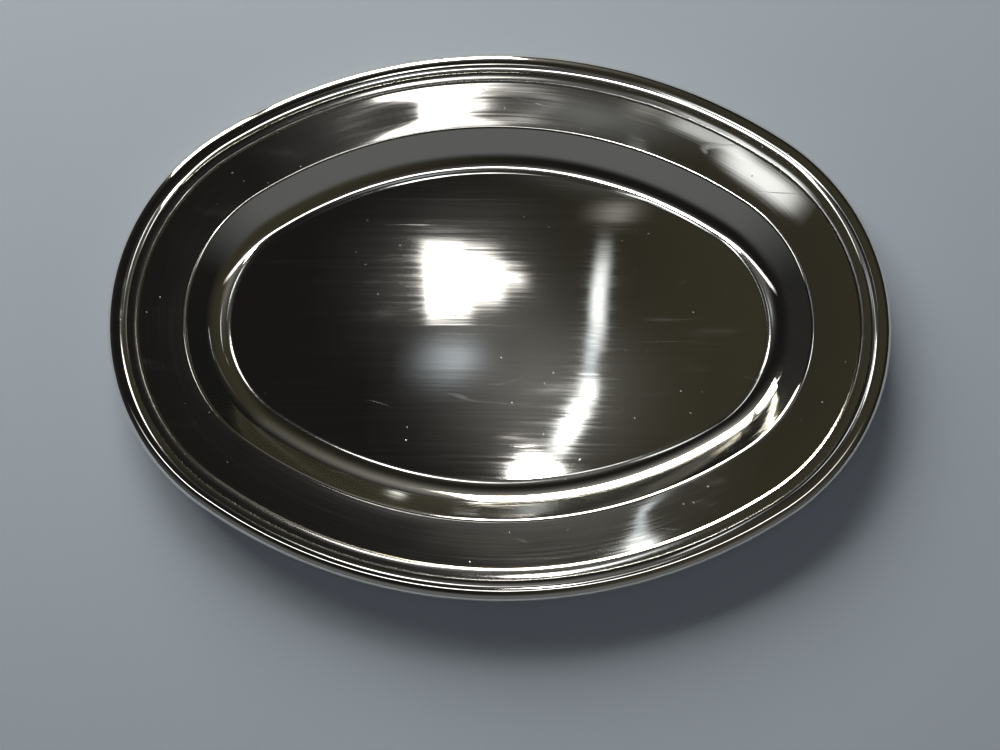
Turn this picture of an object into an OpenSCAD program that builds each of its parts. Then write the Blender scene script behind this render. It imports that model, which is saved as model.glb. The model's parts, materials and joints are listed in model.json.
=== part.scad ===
// Oval serving dish in polished plate, lying on its floor.
// The origin is under the middle of the floor, X runs along the dish and Z is up.
// Sections are drawn with X measured outwards from the outer edge, so a place on the dish has a negative X.

/* [Oval] */
// Length over the turned-down edge
length = 360; // [320:1:420]
// Width over the turned-down edge
width = 255; // [230:1:300]

/* [Sheet] */
// Gauge of the pressed sheet
sheet = 1; // [0.6:0.1:1.4]

/* [Well] */
// Depth of the well, from the rim at its break to the floor
well_depth = 13; // [11:0.5:18]
// Slope of the wall of the well, in degrees
wall_angle = 48; // [40:1:55]
// Inside radius where the floor turns up into the wall
cove_radius = 16; // [8:0.5:20]
// Outside radius where the wall turns out into the rim
break_radius = 2.5; // [2:0.5:4]

/* [Rim] */
// Width of the rim, from the outer edge to the centre of its break
rim_width = 35; // [30:0.5:40]
// Rise of the rim towards the edge, in degrees
rim_angle = 5; // [2:0.5:8]

/* [Edge] */
// Outside radius of the turned-down edge
edge_radius = 5.5; // [5:0.5:8]
// Outside radius of the gentle fall inside the crest of the edge
crest_radius = 12; // [8:0.5:14]
// Slope at the inner end of that fall, in degrees
crest_angle = 20; // [15:1:25]
// Outside radius of the shoulder between that fall and the step
shoulder_radius = 2.5; // [2:0.1:4]
// Slope of the step from the rim up to the shoulder, in degrees
step_angle = 40; // [30:1:50]
// Length of the straight slope of the step
step_length = 0.4; // [0.2:0.1:1.5]
// Inside radius at the foot of the step
step_radius = 0.8; // [0.4:0.1:1.5]
// Turn of the curl that holds the wire, in degrees
curl_turn = 245; // [200:5:255]

/* [Wire] */
// Diameter of the stiffening wire in the curl
wire_d = 3.2; // [2.4:0.1:3.6]
// Clearance round the wire
wire_clearance = 0.1; // [0.05:0.05:0.2]
// Gap between the two ends of the wire
wire_gap = 0.8; // [0.4:0.1:2]

/* [Border] */
// Width of the foot of the reeded strip
border_w = 4; // [3.6:0.1:8]
// Height of the crests of the reeds above the rim
border_h = 0.8; // [0.6:0.05:1.2]
// Thickness of the strip at its inner edge
border_edge = 0.12; // [0.06:0.02:0.2]
// Width of the bevel along the inner edge of the strip
bevel_w = 0.9; // [0.4:0.1:1]
// Number of flat reeds across the strip
reed_count = 1; // [1:1:4]
// Rise of each reed from its edges to its crest
reed_depth = 0.06; // [0.04:0.02:0.16]
// Gap between the strip and the foot of the step
border_set = 0.1; // [0.1:0.1:0.5]
// Thickness of the solder under the strip
solder = 0.1; // [0.05:0.05:0.2]

/* [Hidden] */

// The outline is four tangent arcs. The centres of two neighbours and the middle of the dish make a
// triangle with sides 60, 91 and 109. The unit is in whole thousandths, so that the arcs meet exactly.
fine = 1000;
tri_x = 60;
tri_y = 91;
tri_h = norm([tri_x, tri_y]);
unit = round(fine * (length - width) / 2 / (tri_x + tri_y - tri_h)) / fine;
end_x = tri_x * unit;
side_y = tri_y * unit;
end_r = round(fine * (length / 2 - end_x)) / fine;
side_r = end_r + tri_h * unit;
hair = 0.00002;

// Largest turn in one straight stretch of a bend, in degrees
bend_step = 12;
// How far the swept part of the floor runs under the middle of the floor
floor_lap = 16;
// Turn between two corners of the middle of the floor, in degrees
floor_step = 15;
circle_steps = 96;
$fn = circle_steps;
silver = [0.79, 0.78, 0.75];
bright_silver = [0.86, 0.85, 0.81];
steel = [0.55, 0.55, 0.54];

// Upward normal and outward direction of a stretch that rises outwards at angle a
function normal(a) = [-sin(a), cos(a)];
function along(a) = [cos(a), sin(a)];

// Centres of the bends, from the break inwards to the cove and outwards to the curl
break_c = [-rim_width, sheet + well_depth - break_radius * cos(rim_angle)];
cove_z = sheet + cove_radius;
cove_drop = cos(wall_angle) * (break_c[1] - cove_z) + cove_radius + break_radius;
cove_x = break_c[0] - cove_drop / sin(wall_angle);
cove_c = [cove_x, cove_z];
rim_level = break_c * normal(rim_angle) + break_radius;
step_bends = shoulder_radius + step_radius;
crest_bends = crest_radius - shoulder_radius;
crest_fall = crest_bends * sin(crest_angle);
step_x = -edge_radius - crest_fall - step_bends * sin(step_angle) - step_length * cos(step_angle);
step_z = (rim_level + step_radius + sin(rim_angle) * step_x) / cos(rim_angle);
step_c = [step_x, step_z];
shoulder_c = step_c - step_bends * normal(step_angle) + step_length * along(step_angle);
crest_c = shoulder_c - crest_bends * normal(crest_angle);
edge_c = [-edge_radius, crest_c[1] + crest_radius - edge_radius];
curl_radius = wire_d / 2 + wire_clearance + sheet;
wire_c = [-curl_radius, edge_c[1]];
step_foot = step_c - step_radius * normal(rim_angle);

// Points of an arc from angle a to angle b, with or without the last one
function arc(c, r, a, b, last = true) =
    let (n = max(2, ceil(abs(b - a) / bend_step)), stop = last ? n : n - 1)
    [for (i = [0:stop]) c + r * along(a + (b - a) * i / n)];

// One face of the sheet from the floor out to the end of the curl: the upper face, or the face depth below it
function sheet_face(depth) = concat(
    [[cove_x - floor_lap, sheet - depth]],
    arc(cove_c, cove_radius + depth, -90, wall_angle - 90),
    arc(break_c, break_radius - depth, 90 + wall_angle, 90 + rim_angle),
    arc(step_c, step_radius + depth, rim_angle - 90, step_angle - 90),
    arc(shoulder_c, shoulder_radius - depth, 90 + step_angle, 90 + crest_angle, last = false),
    arc(crest_c, crest_radius - depth, 90 + crest_angle, 90, last = false),
    arc(edge_c, edge_radius - depth, 90, 0, last = false),
    arc(wire_c, curl_radius - depth, 0, -curl_turn)
);

function reversed(list) = [for (i = [len(list) - 1:-1:0]) list[i]];

// A point on the rim: s inwards from the foot of the step, and h above the sheet
function on_rim(s, h) = step_foot - s * along(rim_angle) + h * normal(rim_angle);

// A point of the outline inset by that much, where the outward normal has the angle t
function oval_point(inset, t) =
    abs(cos(t)) > tri_x / tri_h
        ? [sign(cos(t)) * end_x, 0] + (end_r - inset) * along(t)
        : [0, -sign(sin(t)) * side_y] + (side_r - inset) * along(t);

module sheet_section() {
    polygon(concat(sheet_face(0), reversed(sheet_face(sheet))));
}

// The strip leans against the step with its outer side
module border_section() {
    groove_h = border_h - reed_depth;
    edge_h = solder + border_edge;
    outer = border_set - (groove_h - solder) / tan(step_angle - rim_angle);
    inner = border_set + border_w;
    reed_w = (inner - bevel_w - outer) / reed_count;
    reed_r = (pow(reed_w / 2, 2) + pow(reed_depth, 2)) / (2 * reed_depth);
    reed_a = asin(reed_w / 2 / reed_r);
    reeds = [
        for (i = [0:reed_count - 1])
            let (c = [outer + (i + 0.5) * reed_w, border_h - reed_r])
                each arc(c, reed_r, 90 + reed_a, 90 - reed_a, last = false)
    ];
    inner_side = [[inner - bevel_w, groove_h], [inner, edge_h], [inner, solder]];
    polygon([for (p = concat([[border_set, solder]], reeds, inner_side)) on_rim(p[0], p[1])]);
}

// A prism over the part of the plan between two directions from an arc's centre, wider by a hair at its far
// corners, so that neighbouring arcs grow together
module sector(centre, d, e) {
    reach = 2 * ceil(side_r / norm(d));
    wider = hair * (d - e) / norm(d - e);
    translate(-[0, 0, length / 2])
        linear_extrude(length)
            translate(centre)
                polygon([[0, 0], reach * d + wider, reach * (d + e), reach * e - wider]);
}

// Carries a section round the outline
module sweep() {
    for (s = [0, 1])
        mirror([s, 0, 0])
            intersection() {
                translate([end_x, 0, 0])
                    rotate_extrude(angle = 180, start = -90)
                        translate([end_r, 0])
                            children();
                sector([end_x, 0], [end_x, -side_y], [end_x, side_y]);
            }
    for (s = [0, 1])
        mirror([0, s, 0])
            intersection() {
                translate([0, -side_y, 0])
                    rotate_extrude(angle = 90, start = 45)
                        translate([side_r, 0])
                            children();
                sector([0, -side_y], [end_x, side_y], [-end_x, side_y]);
            }
}

module dish_body() {
    color(silver) {
        sweep()
            sheet_section();
        linear_extrude(sheet)
            polygon([for (t = [0:floor_step:360 - floor_step]) oval_point(floor_lap / 2 - cove_x, t)]);
    }
}

module edge_wire() {
    color(steel)
        difference() {
            sweep()
                translate(wire_c)
                    circle(d = wire_d);
            translate([0, width / 2 + wire_c[0], wire_c[1]])
                cube([wire_gap, 2 * wire_d, 2 * wire_d], center = true);
        }
}

module reeded_border() {
    color(bright_silver)
        sweep()
            border_section();
}

dish_body();
edge_wire();
reeded_border();
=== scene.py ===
import bpy
import json
import numpy as np
from mathutils import Matrix, Vector

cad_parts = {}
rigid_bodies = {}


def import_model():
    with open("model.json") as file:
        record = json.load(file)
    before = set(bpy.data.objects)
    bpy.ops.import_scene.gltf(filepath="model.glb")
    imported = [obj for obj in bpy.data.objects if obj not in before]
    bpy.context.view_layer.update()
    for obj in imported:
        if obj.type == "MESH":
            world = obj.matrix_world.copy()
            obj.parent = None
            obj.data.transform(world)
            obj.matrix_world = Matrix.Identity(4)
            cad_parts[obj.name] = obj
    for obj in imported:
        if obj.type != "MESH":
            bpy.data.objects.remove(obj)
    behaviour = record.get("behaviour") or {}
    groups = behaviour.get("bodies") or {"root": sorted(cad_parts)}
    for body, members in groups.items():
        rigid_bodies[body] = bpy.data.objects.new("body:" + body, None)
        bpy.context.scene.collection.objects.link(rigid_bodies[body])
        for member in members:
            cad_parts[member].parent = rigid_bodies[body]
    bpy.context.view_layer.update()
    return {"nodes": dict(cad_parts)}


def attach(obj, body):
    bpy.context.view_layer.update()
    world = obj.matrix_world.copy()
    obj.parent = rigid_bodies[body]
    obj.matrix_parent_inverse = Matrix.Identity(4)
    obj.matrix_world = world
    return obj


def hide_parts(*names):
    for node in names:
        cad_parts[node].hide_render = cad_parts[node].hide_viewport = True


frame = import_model()
scene = bpy.context.scene
scene.view_settings.view_transform = "Standard"
mm = 0.001
print("frame:", ", ".join(sorted(frame["nodes"])))


# the outline of the dish: two end arcs and two side arcs that meet without a kink
oval = {
    "length": 360.0,
    "width": 255.0,
    "triangle": (60.0, 91.0, 109.0),  # sides between the middle of the dish and the centres of two arcs
    "endColumns": 88,
    "sideColumns": 112,
}

# the section of the pressed sheet, measured outwards from the outer edge and up from the table
section = {
    "sheet": 1.0,
    "wellDepth": 13.0,
    "wallAngle": 48.0,
    "coveRadius": 16.0,
    "breakRadius": 2.5,
    "rimWidth": 35.0,
    "rimAngle": 5.0,
    "edgeRadius": 5.5,
    "crestRadius": 12.0,
    "crestAngle": 20.0,
    "shoulderRadius": 2.5,
    "stepAngle": 40.0,
    "stepLength": 0.4,
    "stepRadius": 0.8,
    "curlTurn": 245.0,
    "wireDiameter": 3.2,
    "wireClearance": 0.1,
}


def along(degrees):
    # unit direction that rises outwards by that angle
    a = np.radians(degrees)
    return np.stack([np.cos(a), np.sin(a)], axis=-1)


def upright(degrees):
    # unit normal, on the upper side, of a stretch that rises outwards by that angle
    a = np.radians(degrees)
    return np.stack([-np.sin(a), np.cos(a)], axis=-1)


def outlineColumns(o):
    # each column: the centre and radius of its arc, the direction outwards, and the run along the edge
    tx, ty, th = o["triangle"]
    unit = (o["length"] - o["width"]) / 2 / (tx + ty - th)
    endX, sideY = tx * unit, ty * unit
    endR = o["length"] / 2 - endX
    sideR = endR + th * unit
    meet = np.degrees(np.arctan2(ty, tx))
    endTurn = np.linspace(-meet, meet, o["endColumns"], endpoint=False)
    sideTurn = np.linspace(meet, 180 - meet, o["sideColumns"], endpoint=False)
    turn = np.concatenate([endTurn, sideTurn, endTurn + 180, sideTurn + 180])
    onEnd = np.concatenate([np.ones_like(endTurn), np.zeros_like(sideTurn)] * 2)
    way = along(turn)
    alongX, acrossY = np.sign(way[:, 0]) * endX * onEnd, -np.sign(way[:, 1]) * sideY * (1 - onEnd)
    centre = np.stack([alongX, acrossY], axis=1)
    radius = np.where(onEnd > 0, endR, sideR)
    step = np.where(onEnd > 0, 2 * meet / o["endColumns"], (180 - 2 * meet) / o["sideColumns"])
    run = np.concatenate([[0], np.cumsum(np.radians(step) * radius)])
    return {"centre": centre, "radius": radius, "way": way, "turn": turn, "run": run, "sideR": sideR}


def bendCentres(c):
    # centres of the bends, from the break inwards to the cove and outwards to the curl
    rim, wall, slope = (np.radians(c[key]) for key in ("rimAngle", "wallAngle", "stepAngle"))
    brk = np.array([-c["rimWidth"], c["sheet"] + c["wellDepth"] - c["breakRadius"] * np.cos(rim)])
    coveZ = c["sheet"] + c["coveRadius"]
    drop = np.cos(wall) * (brk[1] - coveZ) + c["coveRadius"] + c["breakRadius"]
    cove = np.array([brk[0] - drop / np.sin(wall), coveZ])
    level = brk @ upright(c["rimAngle"]) + c["breakRadius"]
    bends = c["shoulderRadius"] + c["stepRadius"]
    crestBends = c["crestRadius"] - c["shoulderRadius"]
    fall = crestBends * np.sin(np.radians(c["crestAngle"]))
    stepX = -c["edgeRadius"] - fall - bends * np.sin(slope) - c["stepLength"] * np.cos(slope)
    step = np.array([stepX, (level + c["stepRadius"] + np.sin(rim) * stepX) / np.cos(rim)])
    shoulder = step - bends * upright(c["stepAngle"]) + c["stepLength"] * along(c["stepAngle"])
    crest = shoulder - crestBends * upright(c["crestAngle"])
    edge = np.array([-c["edgeRadius"], crest[1] + c["crestRadius"] - c["edgeRadius"]])
    curlRadius = c["wireDiameter"] / 2 + c["wireClearance"] + c["sheet"]
    wire = np.array([-curlRadius, edge[1]])
    foot = step - c["stepRadius"] * upright(c["rimAngle"])
    return {"break": brk, "cove": cove, "step": step, "shoulder": shoulder, "crest": crest,
            "edge": edge, "wire": wire, "curlRadius": curlRadius, "foot": foot}


def bendRows(centre, radius, start, end, count, side):
    # an arc of the section: its points, and its normals, turned to the centre where side is -1
    spread = along(np.linspace(start, end, count))
    return centre + radius * spread, side * spread


def straightRows(a, b, count, ease=0.12):
    # points between a and b, without both, with one close to each end to hold the bends
    t = np.concatenate([[ease / 4], np.linspace(ease, 1 - ease, count), [1 - ease / 4]])
    return a + (b - a) * t[:, None]


# the number that stands for each part of the sheet, with a half more for the straight stretch outside it
partCode = {
    "floor": -1.0,
    "cove": 0.0,
    "break": 1.0,
    "rim": 1.5,
    "step": 2.0,
    "crest": 4.0,
    "curl": 6.0,
    "under": 9.0,
}


def faceRows(c, m, depth, counts):
    # one face of the sheet, from the end of the floor to the end of the curl: points, normals and parts
    r = np.sign(0.5 - depth)  # the lower face looks the other way
    wall, rim, step, crest = (c[key] for key in ("wallAngle", "rimAngle", "stepAngle", "crestAngle"))
    bends = [
        bendRows(m["cove"], c["coveRadius"] + depth, -90, wall - 90, counts[0], -r),
        bendRows(m["break"], c["breakRadius"] - depth, 90 + wall, 90 + rim, counts[1], r),
        bendRows(m["step"], c["stepRadius"] + depth, rim - 90, step - 90, counts[2], -r),
        bendRows(m["shoulder"], c["shoulderRadius"] - depth, 90 + step, 90 + crest, counts[3], r),
        bendRows(m["crest"], c["crestRadius"] - depth, 90 + crest, 90, counts[4], r),
        bendRows(m["edge"], c["edgeRadius"] - depth, 90, 0, counts[5], r),
        bendRows(m["wire"], m["curlRadius"] - depth, 0, -c["curlTurn"], counts[6], r),
    ]
    lines = [2, counts[7], 1, 0, 0, 0]  # rows on the straight stretch after each bend
    points, normals, part = [bends[0][0]], [bends[0][1]], [np.full(counts[0], partCode["cove"])]
    for k, n in enumerate(lines):
        p, q = bends[k], bends[k + 1]
        if n:
            line = straightRows(p[0][-1], q[0][0], n)
            points.append(line)
            normals.append(np.repeat(p[1][-1:], len(line), axis=0))
            part.append(np.full(len(line), k + 0.5))
        skip = 0 if n else 1  # two bends that touch share a row
        points.append(q[0][skip:])
        normals.append(q[1][skip:])
        part.append(np.full(len(q[0]) - skip, k + 1.0))
    return np.concatenate(points), np.concatenate(normals), np.concatenate(part)


def carried(columns, rows):
    # a section carried round the outline: centre + (radius + x) * way, at height z
    flat = columns["centre"][None] + (columns["radius"] + rows[:, :1])[..., None] * columns["way"][None]
    height = np.broadcast_to(rows[:, 1:2, None], flat.shape[:2] + (1,))
    return np.concatenate([flat, height], axis=2)


def carriedNormals(columns, normals):
    flat = normals[:, :1, None] * columns["way"][None]
    height = np.broadcast_to(normals[:, 1:2, None], flat.shape[:2] + (1,))
    return np.concatenate([flat, height], axis=2)


def gridQuads(rows, count, closedRows=False):
    # quads of a grid that is closed round the outline; the order of the rows sets their outer side
    i = np.arange(rows if closedRows else rows - 1)[:, None]
    j = np.arange(count)[None]
    nextI, nextJ = (i + 1) % rows, (j + 1) % count
    corners = [i * count + j, nextI * count + j, nextI * count + nextJ, i * count + nextJ]
    return np.stack(np.broadcast_arrays(*corners), axis=-1).reshape(-1, 4)


def cornerUv(*pairs):
    # one UV for each corner of the faces, from pairs of arrays
    return np.stack([np.stack(pair, axis=1) for pair in pairs], axis=1)


def addMesh(name, points, faces, loopNormals, loopUv, values):
    # puts arrays into a mesh: points in mm, faces as lists of corners, a normal and a UV for each corner
    mesh = bpy.data.meshes.new(name)
    mesh.from_pydata((points * mm).tolist(), [], faces)
    uv = mesh.uv_layers.new(name="run")
    uv.data.foreach_set("uv", (loopUv * mm).astype(np.float32).ravel())
    for key, value in values.items():
        layer = mesh.attributes.new(key, "FLOAT", "POINT")
        layer.data.foreach_set("value", value.astype(np.float32))
    mesh.polygons.foreach_set("use_smooth", np.ones(len(mesh.polygons), bool))
    mesh.normals_split_custom_set(loopNormals.tolist())
    mesh.validate()
    mesh.update()
    piece = bpy.data.objects.new(name, mesh)
    scene.collection.objects.link(piece)
    return piece


# long shallow waves that pressing leaves in flat sheet: height and length in mm, heading, start
waves = {
    "floor": [(0.050, 118, 20, 0.6), (0.028, 74, 104, 2.1), (0.010, 43, 61, 4.0), (0.005, 29, 150, 1.2)],
    "rim": [(0.020, 52, 95, 3.3), (0.012, 31, 48, 5.2), (0.008, 21, 130, 2.4)],
}

# low swells across the rim: height in mm, place along x, half width
swells = [(0.62, -25, 28), (0.12, 62, 20)]


def waveField(flat, parts):
    # sum of a * sin(2 pi (x cos h + y sin h) / l + s), and its slope along x and y
    height, slope = np.zeros(flat.shape[:-1]), np.zeros(flat.shape)
    for a, l, heading, start in parts:
        way = along(heading)
        phase = 2 * np.pi * (flat @ way) / l + start
        height += a * np.sin(phase)
        slope += (a * 2 * np.pi / l * np.cos(phase))[..., None] * way
    return height, slope


def swellField(flat, parts):
    # sum of a * exp(-((x - p) / w)^2), and its slope along x and y
    height, slope = np.zeros(flat.shape[:-1]), np.zeros(flat.shape)
    for a, place, w in parts:
        off = (flat[..., 0] - place) / w
        swell = a * np.exp(-off ** 2)
        height += swell
        slope[..., 0] -= 2 * off / w * swell
    return height, slope


dish = {
    "floorRings": 26,
    "underRings": 9,
    "topCounts": (20, 14, 10, 8, 10, 20, 30, 12),  # rows on the bends, cove to curl, then on the rim
    "underCounts": (7, 7, 5, 4, 4, 10, 18, 3),
    "floorFade": 6.0,  # the floor's waves fade over the last sixth of the way to the cove
    "rimWaves": (17.0, 22.0, 29.5, 33.5),  # insets where the rim's waves start, are full, weaken and end
    "foldShade": {"step": 0.8, "curl": 0.55, "under": 0.6},  # how much tarnish a place can hold
    "footReach": 1.2,  # how far tarnish spreads from the foot of the step
}


def makeDish(o, c, d):
    # the sheet as one closed skin: floor rings, upper face out to the curl, lower face back, under rings
    columns = outlineColumns(o)
    m = bendCentres(c)
    top, topN, topPart = faceRows(c, m, 0.0, d["topCounts"])
    low, lowN, _ = faceRows(c, m, c["sheet"], d["underCounts"])
    count = len(columns["turn"])
    topGrid, topNormals = carried(columns, top), carriedNormals(columns, topN)
    lowGrid, lowNormals = carried(columns, low)[::-1], carriedNormals(columns, lowN)[::-1]
    share = np.linspace(0, 1, d["floorRings"] + 1)[1:-1, None, None]
    floorGrid = topGrid[:1] * np.array([1, 1, 0]) * share + np.array([0, 0, c["sheet"]])
    back = np.linspace(1, 0, d["underRings"] + 1)[1:-1, None, None]
    underGrid = lowGrid[-1:] * np.array([1, 1, 0]) * back
    up = np.array([0.0, 0.0, 1.0])
    grid = np.concatenate([floorGrid, topGrid, lowGrid, underGrid])
    normals = np.concatenate([np.broadcast_to(up, floorGrid.shape), topNormals, lowNormals,
                              np.broadcast_to(-up, underGrid.shape)])
    rows, rings, tops = len(grid), len(floorGrid), len(topGrid)

    # the part that each row is on, its distance inside the edge, and how much of the waves it has
    below = np.full(len(lowGrid) + len(underGrid), partCode["under"])
    part = np.concatenate([np.full(rings, partCode["floor"]), topPart, below])
    floorFade = np.minimum(1, (1 - share[:, 0, 0]) * d["floorFade"])
    floorWeight = np.concatenate([floorFade, np.zeros(rows - rings)])
    floorX, underX = np.full(rings, top[0, 0]), np.full(len(underGrid), low[0, 0])
    inset = -np.concatenate([floorX, top[:, 0], low[::-1, 0], underX])
    start, full, weaken, end = d["rimWaves"]
    rise = np.clip((inset - start) / (full - start), 0, 1)
    fall = np.clip((end - inset) / (end - weaken), 0, 1)
    rimWeight = rise * fall * (part == partCode["rim"])
    floorH, floorS = waveField(grid[..., :2], waves["floor"])
    rimH, rimS = waveField(grid[..., :2], waves["rim"])
    swellH, swellS = swellField(grid[..., :2], swells)
    rimH, rimS = rimH + swellH, rimS + swellS
    grid[..., 2] += floorWeight[:, None] * floorH + rimWeight[:, None] * rimH
    slope = floorWeight[:, None, None] * floorS + rimWeight[:, None, None] * rimS
    normals = normals - np.concatenate([slope, np.zeros(slope.shape[:2] + (1,))], axis=2)
    normals /= np.linalg.norm(normals, axis=2, keepdims=True)

    # values for the finish: how much it is floor, and how deep it lies in a fold or under the dish
    coveEnd = -top[d["topCounts"][0] - 1, 0]
    isFloor = np.clip((inset - coveEnd) / (inset.max() - coveEnd), 0, 1) * (part < partCode["break"])
    shade = d["foldShade"]
    fold = np.select([part == partCode[key] for key in shade], list(shade.values()), 0.0)
    nearFoot = np.clip(1 - np.abs(inset + m["foot"][0]) / d["footReach"], 0, 1)
    fold = np.maximum(fold, nearFoot * (part < partCode["crest"]))
    run = np.concatenate([[0], np.cumsum(np.linalg.norm(np.diff(grid[:, 0], axis=0), axis=1))])

    # corners: grid quads, and a fan at each pole
    quads = gridQuads(rows, count)
    ring = np.arange(count)
    nextRing = (ring + 1) % count
    poleTop, poleLow = rows * count, rows * count + 1
    lastRow = (rows - 1) * count
    fanTop = np.stack([np.full(count, poleTop), ring, nextRing], axis=1)
    fanLow = np.stack([np.full(count, poleLow), lastRow + nextRing, lastRow + ring], axis=1)
    h0, s0 = waveField(np.zeros((1, 2)), waves["floor"])
    poles = np.array([[0, 0, c["sheet"] + h0[0]], [0, 0, 0]])
    poleN = np.array([[-s0[0, 0], -s0[0, 1], 1], [0, 0, -1.0]])
    points = np.concatenate([grid.reshape(-1, 3), poles])
    pointN = np.concatenate([normals.reshape(-1, 3), poleN])
    cornerN = pointN[quads]
    capStrip = rings + tops - 1  # the cut end of the curl, between the two faces
    capWay = -along(90 - c["curlTurn"])
    capN = carriedNormals(columns, capWay[None])[0]
    cap = slice(capStrip * count, (capStrip + 1) * count)
    cornerN[cap] = np.stack([capN, capN, np.roll(capN, -1, 0), np.roll(capN, -1, 0)], axis=1)
    loopNormals = np.concatenate([n.reshape(-1, 3) for n in (cornerN, pointN[fanTop], pointN[fanLow])])

    # UV: run along the edge by run along the section, in metres
    i = np.repeat(np.arange(rows - 1), count)
    j = np.tile(np.arange(count), rows - 1)
    a, b = columns["run"][j], columns["run"][j + 1]
    quadUv = cornerUv((a, run[i]), (a, run[i + 1]), (b, run[i + 1]), (b, run[i]))
    a, b = columns["run"][:-1], columns["run"][1:]
    first, last = np.zeros(count), np.full(count, run[-1])
    topUv = cornerUv((a, first), (a, first), (b, first))
    lowUv = cornerUv((a, last), (b, last), (a, last))
    loopUv = np.concatenate([uv.reshape(-1, 2) for uv in (quadUv, topUv, lowUv)])
    values = {
        "floorShare": np.concatenate([np.repeat(isFloor, count), [1, 0]]),
        "fold": np.concatenate([np.repeat(fold, count), [0, shade["under"]]]),
    }
    faces = quads.tolist() + fanTop.tolist() + fanLow.tolist()
    return addMesh("dishBody", points, faces, loopNormals, loopUv, values)


dishBody = makeDish(oval, section, dish)
print("dish body:", len(dishBody.data.polygons), "faces")


border = {
    "width": 4.0,
    "height": 0.8,
    "edge": 0.12,
    "bevel": 0.9,
    "reeds": 1,
    "reedDepth": 0.06,
    "set": 0.1,
    "solder": 0.1,
    "soften": 0.1,  # how far from a corner its rounding starts
    "reedRows": 21,
}


def softened(points, reach, count=4, most=0.42):
    # a closed outline with each corner replaced by a short curve: (1-t)^2 a + 2t(1-t) corner + t^2 b
    before, after = np.roll(points, 1, 0), np.roll(points, -1, 0)
    lb = np.linalg.norm(before - points, axis=1, keepdims=True)
    la = np.linalg.norm(after - points, axis=1, keepdims=True)
    cut = np.minimum(reach, most * np.minimum(lb, la))
    a, b = points + (before - points) / lb * cut, points + (after - points) / la * cut
    t = np.linspace(0, 1, count)[None, :, None]
    curve = (1 - t) ** 2 * a[:, None] + 2 * t * (1 - t) * points[:, None] + t ** 2 * b[:, None]
    return curve.reshape(-1, 2)


def outlineNormals(points):
    # outward normals of a closed outline that runs against the clock when seen along its path
    ahead = np.roll(points, -1, 0) - np.roll(points, 1, 0)
    n = np.stack([-ahead[:, 1], ahead[:, 0]], axis=1)
    return n / np.linalg.norm(n, axis=1, keepdims=True)


def makeBorder(o, c, b):
    # the drawn strip: a flat foot, an outer side along the step, a row of reeds and an inner bevel
    columns = outlineColumns(o)
    m = bendCentres(c)
    groove, edgeH = b["height"] - b["reedDepth"], b["solder"] + b["edge"]
    outer = b["set"] - (groove - b["solder"]) / np.tan(np.radians(c["stepAngle"] - c["rimAngle"]))
    inner = b["set"] + b["width"]
    reedW = (inner - b["bevel"] - outer) / b["reeds"]
    reedR = ((reedW / 2) ** 2 + b["reedDepth"] ** 2) / (2 * b["reedDepth"])
    half = np.degrees(np.arcsin(reedW / 2 / reedR))
    fan = along(np.linspace(90 + half, 90 - half, b["reedRows"])[:-1]) * reedR
    mids = outer + reedW * (np.arange(b["reeds"]) + 0.5)
    mids = np.stack([mids, np.full(b["reeds"], b["height"] - reedR)], axis=1)
    reeds = (mids[:, None] + fan[None]).reshape(-1, 2)
    low = np.array([[b["set"], b["solder"]]])
    high = np.array([[inner - b["bevel"], groove], [inner, edgeH], [inner, b["solder"]]])
    shape = softened(np.concatenate([low, reeds, high]), b["soften"])
    rows = m["foot"] - shape[:, :1] * along(c["rimAngle"]) + shape[:, 1:] * upright(c["rimAngle"])
    rows = rows[::-1]  # so that the skin looks outwards
    rowN = outlineNormals(rows)
    grid, normals = carried(columns, rows), carriedNormals(columns, rowN)
    count, total = len(columns["turn"]), len(rows)
    quads = gridQuads(total, count, closedRows=True)
    depth = np.clip((b["height"] - shape[::-1, 1]) / b["height"], 0, 1)
    run = np.concatenate([[0], np.cumsum(np.linalg.norm(np.diff(rows, axis=0), axis=1)), [0]])
    run[-1] = run[-2] + np.linalg.norm(rows[0] - rows[-1])
    i = np.repeat(np.arange(total), count)
    j = np.tile(np.arange(count), total)
    a, e = columns["run"][j], columns["run"][j + 1]
    uv = cornerUv((a, run[i]), (a, run[i + 1]), (e, run[i + 1]), (e, run[i]))
    flatN = normals.reshape(-1, 3)
    return addMesh("reededBorder", grid.reshape(-1, 3), quads.tolist(), flatN[quads].reshape(-1, 3),
                   uv.reshape(-1, 2), {"fold": np.repeat(depth, count)})


reededBorder = makeBorder(oval, section, border)
print("reeded border:", len(reededBorder.data.polygons), "faces")


wire = {
    "gap": 0.8,
    "sides": 20,
    "endRoom": 0.2,  # turn beside the gap that holds no ring, in degrees
    "foldShade": 0.7,
}


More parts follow.
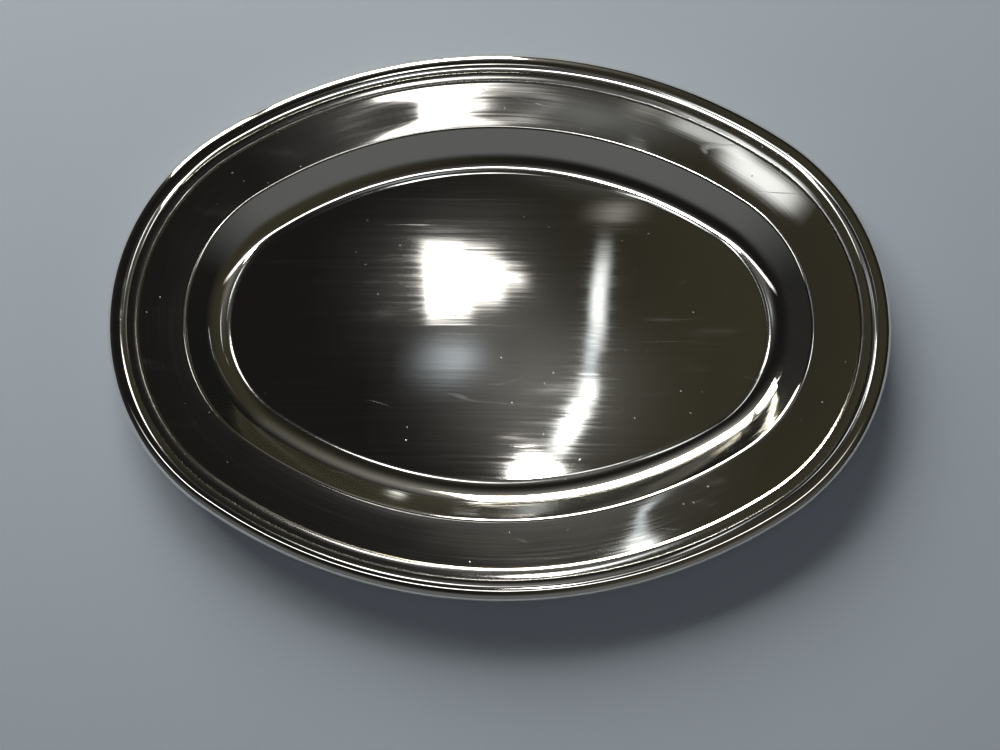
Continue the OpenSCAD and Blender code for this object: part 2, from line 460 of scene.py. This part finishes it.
def makeWire(o, c, w):
    # the wire: a circle carried along the outline from one side of its gap to the other, with flat ends
    columns = outlineColumns(o)
    m = bendCentres(c)
    back = 90 + np.degrees(w["gap"] / 2 / (columns["sideR"] + m["wire"][0]))
    turns = columns["turn"]
    onward = turns[(turns > back + w["endRoom"]) & (turns < 360)]
    around = turns[turns < 180 - back - w["endRoom"]] + 360
    turn = np.concatenate([[back], onward, around, [540 - back]])
    order = np.argsort(turn)
    turn = turn[order]
    way = along(turn)
    nearest = np.argmin(np.abs((columns["turn"][None] - turn[:, None] + 180) % 360 - 180), axis=1)
    nearest[[0, -1]] = np.argmin(np.abs(columns["turn"] - 90))
    centre, radius = columns["centre"][nearest], columns["radius"][nearest]
    r = c["wireDiameter"] / 2
    spread = along(np.linspace(0, 360, w["sides"], endpoint=False)) * r
    flat = centre[None] + (radius + m["wire"][0] + spread[:, :1])[..., None] * way[None]
    high = np.broadcast_to((m["wire"][1] + spread[:, 1:2])[..., None], flat.shape[:2] + (1,))
    grid = np.concatenate([flat, high], axis=2)
    normals = carriedNormals({"way": way}, spread / r)
    sides, count = w["sides"], len(turn)
    i = np.arange(sides)[:, None]
    j = np.arange(count - 1)[None]
    nextI = (i + 1) % sides
    corners = [i * count + j, nextI * count + j, nextI * count + j + 1, i * count + j + 1]
    quads = np.stack(np.broadcast_arrays(*corners), axis=-1).reshape(-1, 4)[:, ::-1]
    middle = np.array([[*(centre[k] + (radius[k] + m["wire"][0]) * way[k]), m["wire"][1]] for k in (0, -1)])
    ring = np.arange(sides)
    nextRing = (ring + 1) % sides
    first = np.stack([np.full(sides, sides * count), ring * count, nextRing * count], axis=1)
    end = count - 1
    last = np.stack([np.full(sides, sides * count + 1), nextRing * count + end, ring * count + end], axis=1)
    endN = np.array([[way[0, 1], -way[0, 0], 0], [-way[-1, 1], way[-1, 0], 0]])
    flatN = normals.reshape(-1, 3)
    loopN = np.concatenate([flatN[quads].reshape(-1, 3), np.repeat(endN, sides * 3, axis=0)])
    run = np.concatenate([[0], np.cumsum(np.linalg.norm(np.diff(grid[0, :, :2], axis=0), axis=1))])
    girth = np.arange(sides + 1) * 2 * np.pi * r / sides
    iq, jq = np.repeat(np.arange(sides), count - 1), np.tile(np.arange(count - 1), sides)
    a, e = run[jq], run[jq + 1]
    uv = cornerUv((a, girth[iq]), (a, girth[iq + 1]), (e, girth[iq + 1]), (e, girth[iq]))[:, ::-1]
    loopUv = np.concatenate([uv.reshape(-1, 2), np.zeros((sides * 6, 2))])
    points = np.concatenate([grid.reshape(-1, 3), middle])
    faces = quads.tolist() + first.tolist() + last.tolist()
    return addMesh("edgeWire", points, faces, loopN, loopUv, {"fold": np.full(len(points), w["foldShade"])})


edgeWire = makeWire(oval, section, wire)
print("edge wire:", len(edgeWire.data.polygons), "faces")


def newGroup(name, inputs, outputs):
    # an empty shader group with float inputs (name, value), a vector input and float outputs
    group = bpy.data.node_groups.new(name, "ShaderNodeTree")
    group.interface.new_socket("Vector", in_out="INPUT", socket_type="NodeSocketVector")
    for label, value in inputs:
        s = group.interface.new_socket(label, in_out="INPUT", socket_type="NodeSocketFloat")
        s.default_value = value
    for label in outputs:
        group.interface.new_socket(label, in_out="OUTPUT", socket_type="NodeSocketFloat")
    source, sink = group.nodes.new("NodeGroupInput"), group.nodes.new("NodeGroupOutput")
    return group, source.outputs, sink.inputs


def node(tree, kind, values=None, **settings):
    # a node with its settings, and its inputs set or linked by name or number
    n = tree.nodes.new(kind)
    for key, value in settings.items():
        setattr(n, key, value)
    for key, value in (values or {}).items():
        if isinstance(value, bpy.types.NodeSocket):
            tree.links.new(value, n.inputs[key])
        else:
            n.inputs[key].default_value = value
    return n


def calc(tree, operation, a, b=0.0, c=0.0):
    return node(tree, "ShaderNodeMath", {0: a, 1: b, 2: c}, operation=operation).outputs[0]


def stretch(tree, vector, by):
    return node(tree, "ShaderNodeVectorMath", {0: vector, 1: by}, operation="MULTIPLY").outputs[0]


def between(tree, value, low, high, to0=0.0, to1=1.0):
    # smooth step of a value between two levels
    levels = {0: value, 1: low, 2: high, 3: to0, 4: to1}
    return node(tree, "ShaderNodeMapRange", levels, interpolation_type="SMOOTHSTEP").outputs[0]


def noise(tree, vector, scale, **values):
    return node(tree, "ShaderNodeTexNoise", {"Vector": vector, "Scale": scale, **values}).outputs[0]


lineLook = {
    "depth": 0.2,  # how much of Z the pattern follows
    "fineDetail": 3.0,
    "fineRoughness": 0.6,
    "broadScale": 0.22,
    "broadDetail": 2.0,
    "broadShare": 1.6,
    "fineShare": 0.4,
    "grain": (0.35, 0.7),
}


def polishLines(s):
    # fine lines along X that the buffing mop leaves, in two finenesses
    g, i, o = newGroup("polishLines", [("Lines per metre", 900.0), ("Length", 0.012)], ["Height", "Grain"])
    run = node(g, "ShaderNodeSeparateXYZ", {0: i["Vector"]}).outputs
    x, z = calc(g, "MULTIPLY", run["X"], i["Length"]), calc(g, "MULTIPLY", run["Z"], s["depth"])
    spun = node(g, "ShaderNodeCombineXYZ", {"X": x, "Y": run["Y"], "Z": z}).outputs[0]
    fine = noise(g, spun, i["Lines per metre"], Detail=s["fineDetail"], Roughness=s["fineRoughness"])
    fewer = calc(g, "MULTIPLY", i["Lines per metre"], s["broadScale"])
    broad = noise(g, spun, fewer, Detail=s["broadDetail"])
    mixed = calc(g, "MULTIPLY_ADD", broad, s["broadShare"], calc(g, "MULTIPLY", fine, s["fineShare"]))
    g.links.new(mixed, o["Height"])
    g.links.new(between(g, fine, *s["grain"]), o["Grain"])
    return g


scratchLook = {
    "headings": ((0.35, 0.0), (-0.9, 7.0), (1.45, 15.0)),  # turn and shift of each set
    "stretch": (0.16, 1.0, 1.0),
    "detail": 1.0,
    "width": 0.006,
    "patchScale": 2.3,
    "patchStart": 1.06,
    "patchFall": 0.9,  # how far the start comes down with the share
    "patchFull": 0.75,
}


def hairScratches(s):
    # thin wandering scratches: the narrow band where a long stretched noise crosses its middle
    g, i, o = newGroup("hairScratches", [("Scale", 40.0), ("Share", 0.5)], ["Mask"])
    patchScale = calc(g, "MULTIPLY", i["Scale"], s["patchScale"])
    start = calc(g, "SUBTRACT", s["patchStart"], calc(g, "MULTIPLY", i["Share"], s["patchFall"]))
    masks = []
    for turn, shift in s["headings"]:
        placing = {"Rotation": (0, 0, turn), "Location": (shift, 0, 0), "Scale": s["stretch"]}
        spun = node(g, "ShaderNodeMapping", {"Vector": i["Vector"], **placing}).outputs[0]
        level = noise(g, spun, i["Scale"], Detail=s["detail"])
        thin = between(g, calc(g, "ABSOLUTE", calc(g, "SUBTRACT", level, 0.5)), 0.0, s["width"], 1.0, 0.0)
        patch = between(g, noise(g, spun, patchScale), start, s["patchFull"])
        masks.append(calc(g, "MULTIPLY", thin, patch))
    g.links.new(calc(g, "MAXIMUM", calc(g, "MAXIMUM", masks[0], masks[1]), masks[2]), o["Mask"])
    return g


speckLook = {
    "dot": (0.03, 0.085),  # distances from a cell's middle where a speck starts to fade and where it ends
    "swarmScale": 17.0,
    "swarmDetail": 1.0,
    "swarm": (0.44, 0.62),
}


def pitSpecks(s):
    # small pits and specks in loose swarms: near the middle of some of the cells of a cell pattern
    g, i, o = newGroup("pitSpecks", [("Cells per metre", 170.0), ("Share", 0.3)], ["Mask"])
    pattern = {"Vector": i["Vector"], "Scale": i["Cells per metre"], "Randomness": 1.0}
    cells = node(g, "ShaderNodeTexVoronoi", pattern).outputs
    dot = between(g, cells["Distance"], *s["dot"], 1.0, 0.0)
    pick = node(g, "ShaderNodeSeparateColor", {0: cells["Color"]}).outputs[0]
    chosen = calc(g, "LESS_THAN", pick, i["Share"])
    swarm = between(g, noise(g, i["Vector"], s["swarmScale"], Detail=s["swarmDetail"]), *s["swarm"])
    g.links.new(calc(g, "MULTIPLY", calc(g, "MULTIPLY", dot, chosen), swarm), o["Mask"])
    return g


smudgeLook = {
    "cloudDetail": 4.0,
    "cloudDistortion": 0.5,
    "cloudShare": 0.55,
    "wipe": (0.6, 5.0, 1.0),
    "wipeScale": 1.7,
    "wipeDetail": 3.0,
    "wipeShare": 0.45,
    "start": 0.72,
    "fall": 0.36,  # how far the start comes down with the share
    "width": 0.2,
}


def handSmudges(s):
    # cloudy finger marks and wiping traces: two noises, one stretched along the wipe
    g, i, o = newGroup("handSmudges", [("Scale", 16.0), ("Share", 0.5)], ["Mask"])
    cloud = noise(g, i["Vector"], i["Scale"], Detail=s["cloudDetail"], Distortion=s["cloudDistortion"])
    wipeScale = calc(g, "MULTIPLY", i["Scale"], s["wipeScale"])
    wiped = noise(g, stretch(g, i["Vector"], s["wipe"]), wipeScale, Detail=s["wipeDetail"])
    level = calc(g, "MULTIPLY_ADD", wiped, s["wipeShare"], calc(g, "MULTIPLY", cloud, s["cloudShare"]))
    start = calc(g, "SUBTRACT", s["start"], calc(g, "MULTIPLY", i["Share"], s["fall"]))
    g.links.new(between(g, level, start, calc(g, "ADD", start, s["width"])), o["Mask"])
    return g


tarnishLook = {
    "scale": 90.0,
    "detail": 5.0,
    "roughness": 0.65,
    "lift": 0.35,
    "level": (0.25, 0.75),
}


def foldTarnish(s):
    # tarnish that polishing leaves in folds and grooves, broken up by noise
    g, i, o = newGroup("foldTarnish", [("Fold", 0.0), ("Share", 0.5)], ["Mask"])
    patch = noise(g, i["Vector"], s["scale"], Detail=s["detail"], Roughness=s["roughness"])
    level = calc(g, "MULTIPLY", calc(g, "ADD", patch, s["lift"]), i["Fold"])
    g.links.new(calc(g, "MULTIPLY", between(g, level, *s["level"]), i["Share"]), o["Mask"])
    return g


groups = {
    "lines": polishLines(lineLook),
    "scratches": hairScratches(scratchLook),
    "specks": pitSpecks(speckLook),
    "smudges": handSmudges(smudgeLook),
    "tarnish": foldTarnish(tarnishLook),
}
print("finish groups:", ", ".join(groups))


def grouped(tree, key, vector, first, second):
    # one use of a finish group, with its two amounts in the order of its inputs
    return node(tree, "ShaderNodeGroup", {0: vector, 1: first, 2: second}, node_tree=groups[key]).outputs


def blended(tree, share, a, b):
    # colour mix
    return node(tree, "ShaderNodeMix", {0: share, 6: a, 7: b}, data_type="RGBA").outputs[2]


def stored(tree, name):
    # a value that the mesh carries
    return node(tree, "ShaderNodeAttribute", attribute_name=name).outputs["Fac"]


def dented(tree, height, depth):
    return node(tree, "ShaderNodeBump", {"Height": height, "Strength": 1.0, "Distance": depth}).outputs[0]


def newMetal(name):
    # a metal, its tree, its shader's inputs and its coordinates
    m = bpy.data.materials.new(name)
    m.use_nodes = True
    inputs = m.node_tree.nodes["Principled BSDF"].inputs
    inputs["Metallic"].default_value = 1.0
    return m, m.node_tree, inputs, node(m.node_tree, "ShaderNodeTexCoord").outputs


plateFinish = {
    "silver": (0.87, 0.85, 0.80, 1),
    "warmSilver": (0.82, 0.785, 0.70, 1),
    "tarnish": (0.46, 0.37, 0.22, 1),
    "floorLines": (700.0, 0.02),  # lines per metre, and their width as a share of their length
    "rimLines": (900.0, 0.012),
    "scratches": (42.0, 0.5),  # scale and share, as in the next two
    "specks": (190.0, 0.45),
    "smudges": (15.0, 0.42),
    "tarnishShare": 0.75,
    "smudgeTint": 0.35,
    "speckTint": 0.55,
    "roughness": 0.035,
    "smudgeRoughness": 0.10,
    "scratchRoughness": 0.12,
    "speckRoughness": 0.3,
    "grainRoughness": 0.03,
    "lineDepth": 0.000011,
    "speckDepth": 3.0,  # in depths of a line, as in the next one
    "scratchDepth": 0.8,
}


def makePlate(f):
    m, t, inputs, place = newMetal("polishedPlate")
    floorShare, fold = stored(t, "floorShare"), stored(t, "fold")
    floorLines = grouped(t, "lines", place["Object"], *f["floorLines"])
    rimLines = grouped(t, "lines", place["UV"], *f["rimLines"])
    scratches = grouped(t, "scratches", place["Object"], *f["scratches"])["Mask"]
    specks = grouped(t, "specks", place["Object"], *f["specks"])["Mask"]
    smudges = grouped(t, "smudges", place["Object"], *f["smudges"])["Mask"]
    tarnish = grouped(t, "tarnish", place["Object"], fold, f["tarnishShare"])["Mask"]
    height, grain = (
        node(t, "ShaderNodeMix", {0: floorShare, 2: rimLines[key], 3: floorLines[key]}).outputs[0]
        for key in ("Height", "Grain")
    )
    tone = blended(t, calc(t, "MULTIPLY", smudges, f["smudgeTint"]), f["silver"], f["warmSilver"])
    tone = blended(t, tarnish, tone, f["tarnish"])
    tone = blended(t, calc(t, "MULTIPLY", specks, f["speckTint"]), tone, f["tarnish"])
    t.links.new(tone, inputs["Base Color"])
    dull = calc(t, "MAXIMUM", smudges, tarnish)
    rough = calc(t, "MULTIPLY_ADD", dull, f["smudgeRoughness"], f["roughness"])
    rough = calc(t, "MULTIPLY_ADD", scratches, f["scratchRoughness"], rough)
    rough = calc(t, "MULTIPLY_ADD", specks, f["speckRoughness"], rough)
    rough = calc(t, "MULTIPLY_ADD", grain, f["grainRoughness"], rough)
    t.links.new(rough, inputs["Roughness"])
    cuts = calc(t, "MULTIPLY", scratches, f["scratchDepth"])
    cuts = calc(t, "MULTIPLY_ADD", specks, f["speckDepth"], cuts)
    t.links.new(dented(t, calc(t, "SUBTRACT", height, cuts), f["lineDepth"]), inputs["Normal"])
    return m


borderFinish = {
    "silver": (0.89, 0.87, 0.82, 1),
    "tarnish": (0.40, 0.32, 0.19, 1),
    "lines": (2600.0, 0.01),
    "smudges": (40.0, 0.4),
    "tarnishShare": 0.9,
    "roughness": 0.06,
    "smudgeRoughness": 0.14,
    "grainRoughness": 0.04,
    "lineDepth": 0.000004,
}


def makeBorderSilver(f):
    m, t, inputs, place = newMetal("borderSilver")
    lines = grouped(t, "lines", place["UV"], *f["lines"])
    smudges = grouped(t, "smudges", place["Object"], *f["smudges"])["Mask"]
    tarnish = grouped(t, "tarnish", place["Object"], stored(t, "fold"), f["tarnishShare"])["Mask"]
    t.links.new(blended(t, tarnish, f["silver"], f["tarnish"]), inputs["Base Color"])
    dull = calc(t, "MAXIMUM", smudges, tarnish)
    rough = calc(t, "MULTIPLY_ADD", dull, f["smudgeRoughness"], f["roughness"])
    rough = calc(t, "MULTIPLY_ADD", lines["Grain"], f["grainRoughness"], rough)
    t.links.new(rough, inputs["Roughness"])
    t.links.new(dented(t, lines["Height"], f["lineDepth"]), inputs["Normal"])
    return m


wireFinish = {
    "steel": (0.55, 0.55, 0.54, 1),
    "dark": (0.24, 0.21, 0.18, 1),
    "lines": (3500.0, 0.004),
    "smudges": (60.0, 0.6),
    "roughness": 0.34,
    "smudgeRoughness": 0.2,
    "grainRoughness": 0.1,
    "lineDepth": 0.00001,
}


def makeWireSteel(f):
    m, t, inputs, place = newMetal("wireSteel")
    lines = grouped(t, "lines", place["UV"], *f["lines"])
    smudges = grouped(t, "smudges", place["Object"], *f["smudges"])["Mask"]
    t.links.new(blended(t, smudges, f["steel"], f["dark"]), inputs["Base Color"])
    rough = calc(t, "MULTIPLY_ADD", smudges, f["smudgeRoughness"], f["roughness"])
    rough = calc(t, "MULTIPLY_ADD", lines["Grain"], f["grainRoughness"], rough)
    t.links.new(rough, inputs["Roughness"])
    t.links.new(dented(t, lines["Height"], f["lineDepth"]), inputs["Normal"])
    return m


dressing = [
    (dishBody, "dish_body", "polished_plate", makePlate(plateFinish)),
    (reededBorder, "reeded_border", "border_silver", makeBorderSilver(borderFinish)),
    (edgeWire, "edge_wire", "wire_steel", makeWireSteel(wireFinish)),
]
for piece, cadNode, slotName, finish in dressing:
    piece.data.materials.append(finish)
    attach(piece, "root")
    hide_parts(cadNode)
print("finishes:", ", ".join(d[3].name for d in dressing))


table = {
    "half": 4.0,
    "colour": (0.40, 0.46, 0.56, 1),
    "roughness": 0.85,
    "cloudScale": 6.0,
    "cloudDetail": 3.0,
    "cloud": (0.3, 0.7),
    "cloudShare": 0.12,
    "darker": 0.8,
}


def makeTable(s):
    # a plain pale cloth-covered table top
    h = s["half"]
    mesh = bpy.data.meshes.new("tableTop")
    mesh.from_pydata([(-h, -h, 0), (h, -h, 0), (h, h, 0), (-h, h, 0)], [], [(0, 1, 2, 3)])
    top = bpy.data.objects.new("tableTop", mesh)
    scene.collection.objects.link(top)
    m = bpy.data.materials.new("paleTable")
    m.use_nodes = True
    t = m.node_tree
    inputs = t.nodes["Principled BSDF"].inputs
    inputs["Roughness"].default_value = s["roughness"]
    place = node(t, "ShaderNodeTexCoord").outputs["Object"]
    cloud = noise(t, place, s["cloudScale"], Detail=s["cloudDetail"])
    shade = between(t, cloud, *s["cloud"], 0.0, s["cloudShare"])
    darker = tuple(v * s["darker"] for v in s["colour"][:3]) + (1,)
    t.links.new(blended(t, shade, s["colour"], darker), inputs["Base Color"])
    mesh.materials.append(m)


makeTable(table)


# soft boxes that face the dish: place, width, height, radiance, colour, fading, its power
boxes = {
    "ceilingMain": ((-0.492, 1.787, 0.749), 1.07, 0.80, 20.0, (1.0, 0.97, 0.86), 0, 2),
    "ceilingSmall": ((-1.248, 1.371, 0.749), 0.53, 0.80, 16.0, (1.0, 0.97, 0.84), 0, 2),
    "ceilingGlow": ((-0.50, 1.90, 1.05), 3.2, 2.6, 0.35, (1.0, 0.98, 0.90), 4, 2),
}

# half angle of the grid on a soft box, which keeps its light off the table below it
grids = {"ceilingMain": 45.0, "ceilingSmall": 45.0}

# soft lamps that look straight down: place, width, length, turn, radiance, colour, fading, its power
overhead = {
    "mainPatch": ((-0.408, 1.034, 5.00), 0.256, 0.388, 8, 4.0, (1.0, 0.99, 0.97), 4, 8),
    "patchMid": ((-0.225, 1.072, 5.01), 0.340, 0.320, -4, 3.0, (1.0, 0.99, 0.97), 4, 4),
    "patchEnd": ((-0.042, 1.085, 5.02), 0.267, 0.181, -10, 2.0, (1.0, 0.99, 0.97), 4, 2),
    "patchGlow": ((-0.288, 1.043, 5.04), 1.57, 1.31, 0, 0.10, (1.0, 1.0, 0.96), 4.5, 2),
    "coolGlow": ((-0.074, 0.083, 0.80), 0.135, 0.110, 0, 0.45, (0.80, 0.90, 1.0), 4, 2),
    "lowGlow": ((0.026, 0.010, 0.40), 0.284, 0.215, 0, 0.12, (1.0, 0.98, 0.96), 4, 2),
    "longStrip": ((0.084, 0.099, 0.45), 0.022, 0.128, -3, 1.5, (0.92, 0.97, 1.0), 4, 3),
    "midStrip": ((0.417, 0.666, 5.12), 0.092, 0.326, -8, 0.8, (0.84, 0.93, 1.0), 4, 4),
    "lowBlock": ((0.408, 0.505, 5.14), 0.131, 0.142, 0, 2.0, (0.94, 0.98, 1.0), 4, 6),
    "lowStrip": ((0.288, 0.316, 5.16), 0.180, 0.475, -35, 2.5, (0.94, 0.98, 1.0), 4, 4),
    "topSmudge": ((0.113, 0.225, 0.62), 0.084, 0.041, 8, 0.22, (1.0, 0.98, 0.93), 4, 2),
    "brightSpot": ((0.039, -0.046, 1.20), 0.092, 0.072, -30, 30.0, (1.0, 0.98, 0.98), 5, 4),
    "sweepLong": ((0.107, 0.107, 0.12), 0.060, 0.013, -25, 0.55, (0.94, 0.98, 1.0), 4, 4),
    "sweepWide": ((0.134, 0.087, 0.13), 0.060, 0.020, -37, 1.1, (0.95, 0.98, 1.0), 4, 4),
    "rimHaze": ((0.050, 0.120, 0.14), 0.160, 0.042, -10, 0.09, (0.90, 0.95, 1.0), 4, 2),
    "rearStrip": ((-0.314, -0.690, 5.30), 9.4, 0.46, 0, 4.0, (1.0, 0.99, 1.0), 4, 4),
}


def newLamp(name, place, beam, width, height, turn, radiance, colour):
    # power = radiance * pi * area
    light = bpy.data.lights.new(name, "AREA")
    light.shape = "RECTANGLE"
    light.size, light.size_y = width, height
    light.energy = radiance * np.pi * width * height
    light.color = colour
    lamp = bpy.data.objects.new(name, light)
    aim = beam.to_track_quat("-Z", "Y").to_matrix().to_4x4()
    lamp.matrix_world = Matrix.Translation(place) @ aim @ Matrix.Rotation(np.radians(turn), 4, "Z")
    lamp.visible_camera = False
    scene.collection.objects.link(lamp)
    return light


def fadeOut(light, fading, power):
    # the lamp fades as exp(-fading (u^power + v^power)) from its middle, with u and v 1 at its edges
    light.use_nodes = True
    t = light.node_tree
    across = node(t, "ShaderNodeNewGeometry").outputs["Parametric"]
    spot = node(t, "ShaderNodeSeparateXYZ", {0: across}).outputs
    off = [calc(t, "ABSOLUTE", calc(t, "MULTIPLY_ADD", spot[k], 2.0, -1.0)) for k in "XY"]
    total = calc(t, "ADD", calc(t, "POWER", off[0], power), calc(t, "POWER", off[1], power))
    fade = calc(t, "EXPONENT", calc(t, "MULTIPLY", total, -fading))
    t.links.new(fade, t.nodes["Emission"].inputs["Strength"])


def addGrid(light, degrees):
    # a grid passes tan h - tan a of the light at angle a; with less energy the radiance ahead is the same
    h = np.radians(degrees)
    light.spread = 2 * h
    light.energy *= 1 - h / np.tan(h)


for name, (place, width, height, radiance, colour, fading, power) in boxes.items():
    box = newLamp(name, place, -Vector(place).normalized(), width, height, 0, radiance, colour)
    fadeOut(box, fading, power)
    if name in grids:
        addGrid(box, grids[name])
for name, (place, width, height, turn, radiance, colour, fading, power) in overhead.items():
    fadeOut(newLamp(name, place, Vector((0, 0, -1)), width, height, turn, radiance, colour), fading, power)
print("lamps:", len(boxes) + len(overhead))


room = {
    "aboveLeft": (0.0095, 0.0092, 0.0088, 1),
    "aboveRight": (0.036, 0.033, 0.021, 1),
    "left": (0.021, 0.021, 0.020, 1),
    "right": (0.009, 0.009, 0.009, 1),
    "front": (0.115, 0.120, 0.122, 1),
    "aboveSpan": (-0.12, 0.22),  # x of a direction, from left to right
    "sideSpan": (-0.6, 0.6),
    "nearSpan": (-0.95, -0.2),  # y of a direction, from the near side on
    "lowSpan": (0.15, 0.75),  # z of a direction, from low down to overhead
    "frontSpan": (0.50, 0.80),
}


def makeRoom(s):
    # a dim room: overhead it gets paler from left to right, low down it is paler on the near side
    world = bpy.data.worlds.new("dimRoom")
    scene.world = world
    world.use_nodes = True
    t = world.node_tree
    way = node(t, "ShaderNodeSeparateXYZ", {0: node(t, "ShaderNodeTexCoord").outputs["Generated"]}).outputs
    low = between(t, way["Z"], *s["lowSpan"], 1.0, 0.0)
    near = between(t, way["Y"], *s["nearSpan"], 1.0, 0.0)
    above = blended(t, between(t, way["X"], *s["aboveSpan"]), s["aboveLeft"], s["aboveRight"])
    sides = blended(t, between(t, way["X"], *s["sideSpan"]), s["left"], s["right"])
    tone = blended(t, low, above, sides)
    nearLow = calc(t, "MULTIPLY", near, between(t, way["Z"], *s["frontSpan"], 1.0, 0.0))
    tone = blended(t, nearLow, tone, s["front"])
    t.links.new(tone, t.nodes["Background"].inputs["Color"])
    t.nodes["Background"].inputs["Strength"].default_value = 1.0


makeRoom(room)


# the camera of the photo, in the dish's own frame: place, then its right, up and back directions
view = {
    "place": (0.01052, -0.07963, 0.48972),
    "right": (0.99968, 0.01974, -0.01602),
    "up": (-0.01780, 0.99338, 0.11351),
    "back": (0.01815, -0.11318, 0.99341),
    "lens": 37.8,
    "sensor": 36.0,
    "clipStart": 0.01,
}
cameraData = bpy.data.cameras.new("viewCamera")
cameraData.sensor_fit = "HORIZONTAL"
cameraData.sensor_width = view["sensor"]
cameraData.lens = view["lens"]
cameraData.clip_start = view["clipStart"]
camera = bpy.data.objects.new("viewCamera", cameraData)
axes = [view[key] for key in ("right", "up", "back", "place")]
camera.matrix_world = Matrix([[axis[k] for axis in axes] for k in range(3)] + [[0, 0, 0, 1]])
scene.collection.objects.link(camera)
scene.camera = camera
print("camera at", view["place"])
